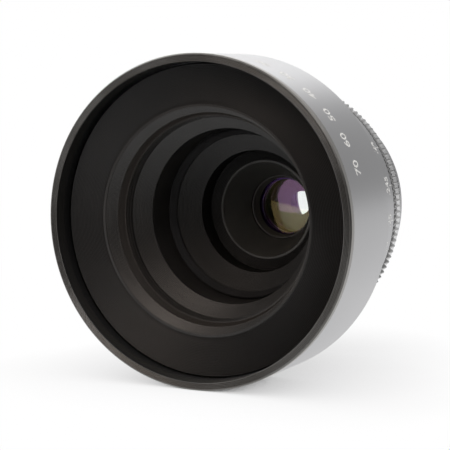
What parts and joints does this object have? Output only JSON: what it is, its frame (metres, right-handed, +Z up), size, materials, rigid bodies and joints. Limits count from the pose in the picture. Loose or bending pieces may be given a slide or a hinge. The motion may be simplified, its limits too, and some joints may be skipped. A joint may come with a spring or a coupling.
{
  "type": "cinema prime lens",
  "caption": "Cinema prime lens with a deep ribbed light-trap funnel, geared focus and iris rings, sliding lens unit, working blade iris and a bayonet-flange rear mount.",
  "frame": {"origin": "centre of the mount flange seat on the optical axis", "axes": "+Y runs backwards along the optical axis into the camera, the front faces -Y, +Z is up and +X is right when looking from the front of the lens towards the camera"},
  "size_m": [0.134, 0.149, 0.134],
  "materials": {
    "satin_black": "satin black anodised and lacquered aluminium, fine turned grain",
    "flat_black": "flat black anti-reflection paint over turned light-trap ribs",
    "anodised_black": "black anodised aluminium, fine turned",
    "steel": "ground stainless steel",
    "brass": "turned bearing brass",
    "blade_black": "thin spring steel, matt black dry-film lubricant",
    "coated_glass": "polished optical glass with green, amber and violet anti-reflection coating"
  },
  "bodies": {
    "body": {"front_ring": "satin_black", "front_barrel": "satin_black", "baffle_plate": "flat_black", "upper_funnel": "flat_black", "lower_funnel": "flat_black", "main_barrel": "anodised_black", "barrel_screws": "steel", "bearing_ring": "brass", "focus_stop_pin": "steel", "index_ring": "satin_black", "rear_housing": "satin_black", "housing_set_screws": "steel", "mount_shim": "brass", "mount_flange": "steel", "mount_screws": "steel"},
    "focus_ring": {"focus_sleeve": "brass", "focus_scale_ring": "satin_black", "focus_gear": "anodised_black", "focus_stop_lug": "steel", "focus_set_screws": "steel"},
    "lens_unit": {"lens_barrel": "anodised_black", "helicoid_keys": "brass", "bezel_ring": "flat_black", "front_cone": "flat_black", "trap_ring": "flat_black", "inner_cone": "flat_black", "front_cell": "anodised_black", "front_lock_ring": "flat_black", "lens_spacers": "flat_black", "iris_housing": "anodised_black", "iris_cover": "anodised_black", "rear_cell": "anodised_black", "rear_lock_ring": "flat_black", "element_1": "coated_glass", "element_2": "coated_glass", "element_3": "coated_glass", "element_4": "coated_glass", "element_5": "coated_glass", "element_6": "coated_glass", "element_7": "coated_glass", "element_8": "coated_glass"},
    "iris_control": {"iris_ring": "satin_black", "iris_gear": "anodised_black", "iris_drive_bar": "steel"},
    "iris_cam": {"iris_cam_ring": "steel"},
    "blade_1": {"iris_blade_1": "blade_black"},
    "blade_2": {"iris_blade_2": "blade_black"},
    "blade_3": {"iris_blade_3": "blade_black"},
    "blade_4": {"iris_blade_4": "blade_black"},
    "blade_5": {"iris_blade_5": "blade_black"},
    "blade_6": {"iris_blade_6": "blade_black"},
    "blade_7": {"iris_blade_7": "blade_black"},
    "blade_8": {"iris_blade_8": "blade_black"},
    "blade_9": {"iris_blade_9": "blade_black"},
    "blade_10": {"iris_blade_10": "blade_black"},
    "blade_11": {"iris_blade_11": "blade_black"},
    "blade_12": {"iris_blade_12": "blade_black"},
    "blade_13": {"iris_blade_13": "blade_black"},
    "blade_14": {"iris_blade_14": "blade_black"}
  },
  "joints": [
    {"name": "focus_turn", "type": "hinge", "parent": "body", "child": "focus_ring", "pos_m": [0, 0, 0], "axis": [0, 1, 0], "range_deg": [0, 300]},
    {"name": "unit_slide", "type": "slide", "parent": "body", "child": "lens_unit", "axis": [0, -1, 0], "range_m": [0, 0.0245]},
    {"name": "iris_turn", "type": "hinge", "parent": "body", "child": "iris_control", "pos_m": [0, 0, 0], "axis": [0, 1, 0], "range_deg": [-37.8, 16.2]},
    {"name": "iris_cam_turn", "type": "hinge", "parent": "lens_unit", "child": "iris_cam", "pos_m": [0, 0, 0], "axis": [0, 1, 0], "range_deg": [-37.8, 16.2]},
    {"name": "blade_1_turn", "type": "hinge", "parent": "lens_unit", "child": "blade_1", "pos_m": [0.00911, -0.0245, 0.01892], "axis": [0, 1, 0], "range_deg": [-19.88, 8.52]},
    {"name": "blade_2_turn", "type": "hinge", "parent": "lens_unit", "child": "blade_2", "pos_m": [0.01642, -0.0245, 0.01309], "axis": [0, 1, 0], "range_deg": [-19.88, 8.52]},
    {"name": "blade_3_turn", "type": "hinge", "parent": "lens_unit", "child": "blade_3", "pos_m": [0.02047, -0.0245, 0.00467], "axis": [0, 1, 0], "range_deg": [-19.88, 8.52]},
    {"name": "blade_4_turn", "type": "hinge", "parent": "lens_unit", "child": "blade_4", "pos_m": [0.02047, -0.0245, -0.00467], "axis": [0, 1, 0], "range_deg": [-19.88, 8.52]},
    {"name": "blade_5_turn", "type": "hinge", "parent": "lens_unit", "child": "blade_5", "pos_m": [0.01642, -0.0245, -0.01309], "axis": [0, 1, 0], "range_deg": [-19.88, 8.52]},
    {"name": "blade_6_turn", "type": "hinge", "parent": "lens_unit", "child": "blade_6", "pos_m": [0.00911, -0.0245, -0.01892], "axis": [0, 1, 0], "range_deg": [-19.88, 8.52]},
    {"name": "blade_7_turn", "type": "hinge", "parent": "lens_unit", "child": "blade_7", "pos_m": [0, -0.0245, -0.021], "axis": [0, 1, 0], "range_deg": [-19.88, 8.52]},
    {"name": "blade_8_turn", "type": "hinge", "parent": "lens_unit", "child": "blade_8", "pos_m": [-0.00911, -0.0245, -0.01892], "axis": [0, 1, 0], "range_deg": [-19.88, 8.52]},
    {"name": "blade_9_turn", "type": "hinge", "parent": "lens_unit", "child": "blade_9", "pos_m": [-0.01642, -0.0245, -0.01309], "axis": [0, 1, 0], "range_deg": [-19.88, 8.52]},
    {"name": "blade_10_turn", "type": "hinge", "parent": "lens_unit", "child": "blade_10", "pos_m": [-0.02047, -0.0245, -0.00467], "axis": [0, 1, 0], "range_deg": [-19.88, 8.52]},
    {"name": "blade_11_turn", "type": "hinge", "parent": "lens_unit", "child": "blade_11", "pos_m": [-0.02047, -0.0245, 0.00467], "axis": [0, 1, 0], "range_deg": [-19.88, 8.52]},
    {"name": "blade_12_turn", "type": "hinge", "parent": "lens_unit", "child": "blade_12", "pos_m": [-0.01642, -0.0245, 0.01309], "axis": [0, 1, 0], "range_deg": [-19.88, 8.52]},
    {"name": "blade_13_turn", "type": "hinge", "parent": "lens_unit", "child": "blade_13", "pos_m": [-0.00911, -0.0245, 0.01892], "axis": [0, 1, 0], "range_deg": [-19.88, 8.52]},
    {"name": "blade_14_turn", "type": "hinge", "parent": "lens_unit", "child": "blade_14", "pos_m": [0, -0.0245, 0.021], "axis": [0, 1, 0], "range_deg": [-19.88, 8.52]}
  ],
  "couplings": [
    {"joint": "unit_slide", "follows": "focus_turn", "m_per_rad": 0.004679},
    {"joint": "iris_cam_turn", "follows": "iris_turn", "ratio": 1},
    {"joint": "blade_1_turn", "follows": "iris_turn", "ratio": 0.5259},
    {"joint": "blade_2_turn", "follows": "iris_turn", "ratio": 0.5259},
    {"joint": "blade_3_turn", "follows": "iris_turn", "ratio": 0.5259},
    {"joint": "blade_4_turn", "follows": "iris_turn", "ratio": 0.5259},
    {"joint": "blade_5_turn", "follows": "iris_turn", "ratio": 0.5259},
    {"joint": "blade_6_turn", "follows": "iris_turn", "ratio": 0.5259},
    {"joint": "blade_7_turn", "follows": "iris_turn", "ratio": 0.5259},
    {"joint": "blade_8_turn", "follows": "iris_turn", "ratio": 0.5259},
    {"joint": "blade_9_turn", "follows": "iris_turn", "ratio": 0.5259},
    {"joint": "blade_10_turn", "follows": "iris_turn", "ratio": 0.5259},
    {"joint": "blade_11_turn", "follows": "iris_turn", "ratio": 0.5259},
    {"joint": "blade_12_turn", "follows": "iris_turn", "ratio": 0.5259},
    {"joint": "blade_13_turn", "follows": "iris_turn", "ratio": 0.5259},
    {"joint": "blade_14_turn", "follows": "iris_turn", "ratio": 0.5259}
  ]
}
